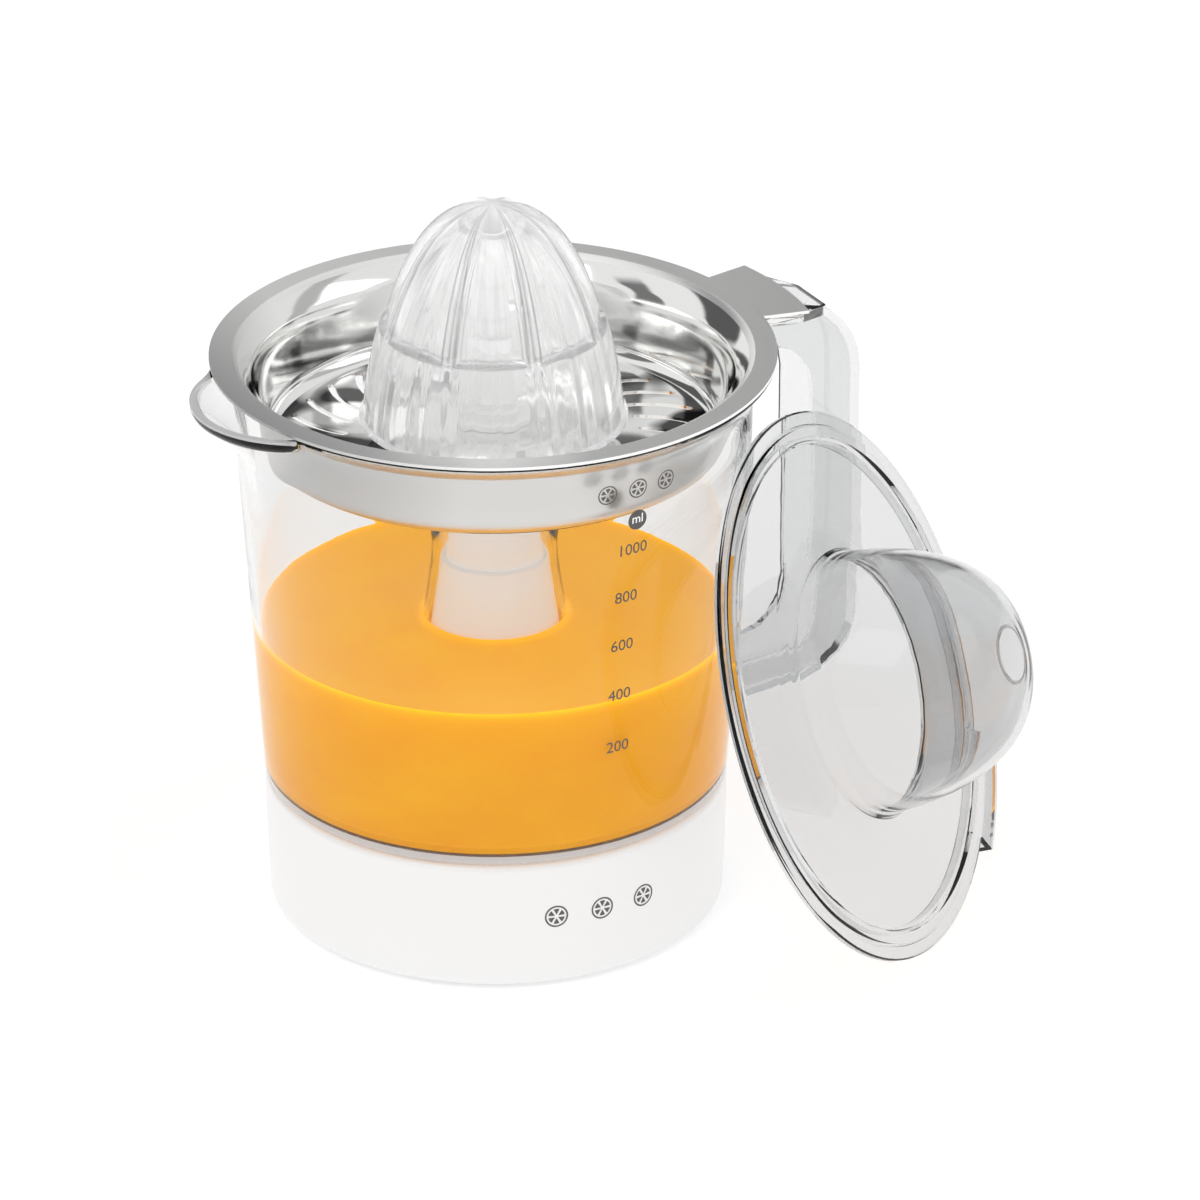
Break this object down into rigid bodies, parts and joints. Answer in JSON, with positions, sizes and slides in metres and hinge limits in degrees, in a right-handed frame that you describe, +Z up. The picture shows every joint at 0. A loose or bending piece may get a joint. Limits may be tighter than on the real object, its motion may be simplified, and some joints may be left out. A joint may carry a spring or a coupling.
{
  "type": "citrus press juicer",
  "caption": "Electric citrus press: white motor base with drive tower, clear pouring jug, steel strainer, clear ribbed reamer and domed lid.",
  "frame": {"origin": "centre of the base, on the surface that the feet stand on", "axes": "+Z up along the drive shaft, +X towards the jug's handle, -X towards the spout, -Y towards the side with the measuring scale"},
  "size_m": [0.2434, 0.2076, 0.219],
  "materials": {
    "white_plastic": "glossy white ABS",
    "drive_plastic": "satin white POM",
    "clear_plastic": "clear SAN plastic, polished",
    "reamer_plastic": "clear SAN plastic, polished and ribbed",
    "sieve_steel": "brushed flat rim, polished bowl",
    "steel": "ground steel",
    "screw_steel": "zinc-plated steel",
    "lamination_steel": "stacked sheet edges",
    "bronze": "sintered bronze",
    "copper": "enamelled wire",
    "pinion_brass": "cut brass",
    "gear_plastic": "natural POM",
    "magnet": "ferrite",
    "black_plastic": "moulded",
    "rubber": "matt"
  },
  "bodies": {
    "power_unit": {"base_housing": "white_plastic", "base_plate": "white_plastic", "rubber_feet": "rubber", "base_screws": "screw_steel", "cord_grommet": "rubber", "terminal_block": "gear_plastic", "tower_cap": "white_plastic", "shaft_seal": "rubber", "shaft_bushes": "bronze", "lower_bush": "bronze", "gearbox_lower_plate": "steel", "gearbox_upper_plate": "steel", "gearbox_pillars": "steel", "gearbox_screws": "screw_steel", "gear_pins": "steel", "motor_stator": "lamination_steel", "motor_spacers": "steel", "coil_bobbin": "gear_plastic", "coil_winding": "copper", "rotor_bushes": "bronze", "motor_bracket": "steel", "motor_screws": "screw_steel", "microswitch": "black_plastic", "switch_pin": "steel", "return_spring": "steel"},
    "press_collar": {"thrust_collar": "drive_plastic"},
    "drive_shaft": {"drive_shaft": "steel"},
    "output_gear": {"output_gear": "gear_plastic"},
    "second_gear": {"second_gear": "gear_plastic"},
    "first_gear": {"first_gear": "gear_plastic"},
    "rotor": {"rotor_magnet": "magnet", "rotor_shaft": "steel", "rotor_pinion": "pinion_brass"},
    "switch_lever": {"switch_lever": "steel"},
    "jug": {"jug_wall_and_spout": "clear_plastic", "jug_floor_and_funnel": "clear_plastic", "jug_handle": "clear_plastic"},
    "strainer": {"strainer": "sieve_steel"},
    "drive_hub": {"drive_hub": "drive_plastic"},
    "drive_sleeve": {"drive_sleeve": "drive_plastic"},
    "reamer": {"reamer": "reamer_plastic"},
    "lid": {"lid": "clear_plastic"}
  },
  "joints": [
    {"name": "press", "type": "slide", "parent": "power_unit", "child": "press_collar", "axis": [0, 0, 1], "range_m": [-0.003, 0], "stiffness_N_per_m": 900, "springref_m": 0.004, "deforming": ["return_spring"]},
    {"name": "shaft_spin", "type": "hinge", "parent": "press_collar", "child": "drive_shaft", "pos_m": [0, 0, 0.1], "axis": [0, 0, 1], "continuous": true},
    {"name": "output_gear_spin", "type": "hinge", "parent": "power_unit", "child": "output_gear", "pos_m": [0, 0, 0.0195], "axis": [0, 0, 1], "continuous": true},
    {"name": "second_gear_spin", "type": "hinge", "parent": "power_unit", "child": "second_gear", "pos_m": [0.011, 0.02133, 0.025], "axis": [0, 0, 1], "continuous": true},
    {"name": "first_gear_spin", "type": "hinge", "parent": "power_unit", "child": "first_gear", "pos_m": [0.02941, 0.00593, 0.025], "axis": [0, 0, 1], "continuous": true},
    {"name": "rotor_spin", "type": "hinge", "parent": "power_unit", "child": "rotor", "pos_m": [0.024, -0.01498, 0.045], "axis": [0, 0, 1], "continuous": true},
    {"name": "switch_lever_tilt", "type": "hinge", "parent": "power_unit", "child": "switch_lever", "pos_m": [0.018, 0, 0.00915], "axis": [0, -1, 0], "range_deg": [0, 15]},
    {"name": "jug_lift", "type": "slide", "parent": "power_unit", "child": "jug", "axis": [0, 0, 1], "range_m": [0, 0.145]},
    {"name": "strainer_lift", "type": "slide", "parent": "jug", "child": "strainer", "axis": [0, 0, 1], "range_m": [0, 0.06]},
    {"name": "reamer_spin", "type": "hinge", "parent": "strainer", "child": "drive_hub", "pos_m": [0, 0, 0.15], "axis": [0, 0, 1], "continuous": true},
    {"name": "reamer_press", "type": "slide", "parent": "drive_hub", "child": "drive_sleeve", "axis": [0, 0, 1], "range_m": [-0.003, 0]},
    {"name": "reamer_lift", "type": "slide", "parent": "drive_sleeve", "child": "reamer", "axis": [0, 0, 1], "range_m": [0, 0.05]},
    {"name": "lid_away", "type": "slide", "parent": "power_unit", "child": "lid", "axis": [0.6347, -0.7727, 0], "range_m": [0, 0.12]}
  ],
  "couplings": [
    {"joint": "output_gear_spin", "follows": "shaft_spin", "ratio": 1},
    {"joint": "second_gear_spin", "follows": "shaft_spin", "ratio": -3},
    {"joint": "first_gear_spin", "follows": "shaft_spin", "ratio": 12},
    {"joint": "rotor_spin", "follows": "shaft_spin", "ratio": -60},
    {"joint": "reamer_spin", "follows": "shaft_spin", "ratio": 1},
    {"joint": "reamer_press", "follows": "press", "ratio": 1},
    {"joint": "switch_lever_tilt", "follows": "press", "rad_per_m": -83.5}
  ]
}
